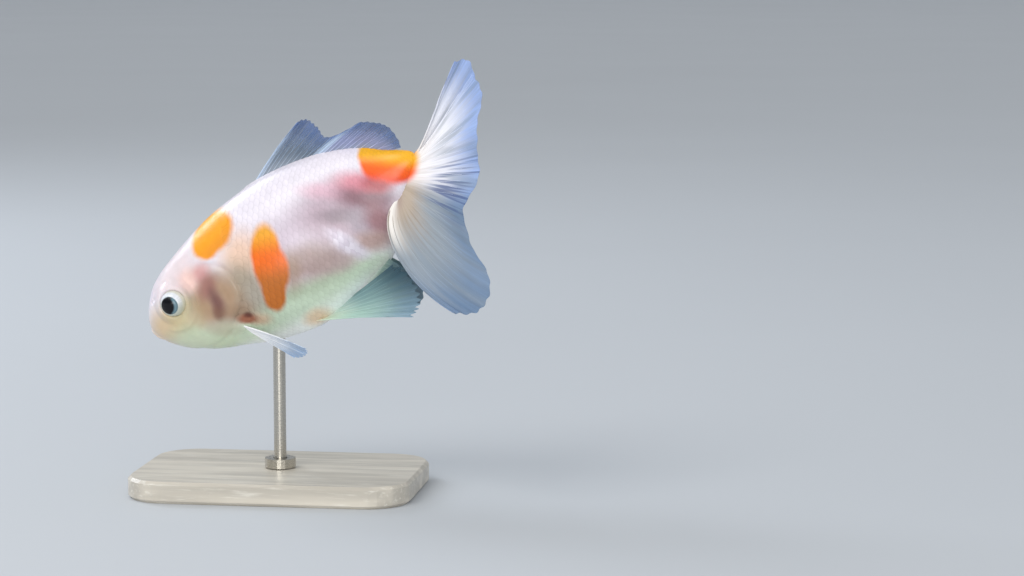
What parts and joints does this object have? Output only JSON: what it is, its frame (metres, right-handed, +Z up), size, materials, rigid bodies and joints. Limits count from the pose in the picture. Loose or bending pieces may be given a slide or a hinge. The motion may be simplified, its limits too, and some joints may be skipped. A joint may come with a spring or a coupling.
{
  "type": "goldfish",
  "caption": "Fancy goldfish with a tall dorsal fin and a fan tail in two halves, nose down as if swimming, held at life size on a rod and a flat base.",
  "frame": {"origin": "centre of the underside of the stand's base, under the rod", "axes": "+Z up, -X the way the fish faces, +Y to the fish's right"},
  "size_m": [0.1195, 0.0632, 0.1393],
  "materials": {
    "skin": "moist pearly scales, white with orange patches",
    "fin": "thin translucent web on fine rays",
    "eye": "clear and wet over a silver iris and a black pupil",
    "base": "limed oak, satin",
    "rod": "brushed"
  },
  "bodies": {
    "root": {"head": "skin", "lower_jaw": "skin", "gill_cover_left": "skin", "gill_cover_right": "skin", "trunk": "skin", "tail_stalk": "skin", "dorsal_fin": "fin", "anal_fin_left": "fin", "anal_fin_right": "fin", "pelvic_fin_left": "fin", "pelvic_fin_right": "fin", "pectoral_fin_left": "fin", "pectoral_fin_right": "fin", "tail_upper_left": "fin", "tail_upper_right": "fin", "tail_lower_left": "fin", "tail_lower_right": "fin", "eye_left": "eye", "eye_right": "eye", "stand_base": "base", "stand_rod": "rod", "stand_collar": "rod"}
  },
  "joints": []
}
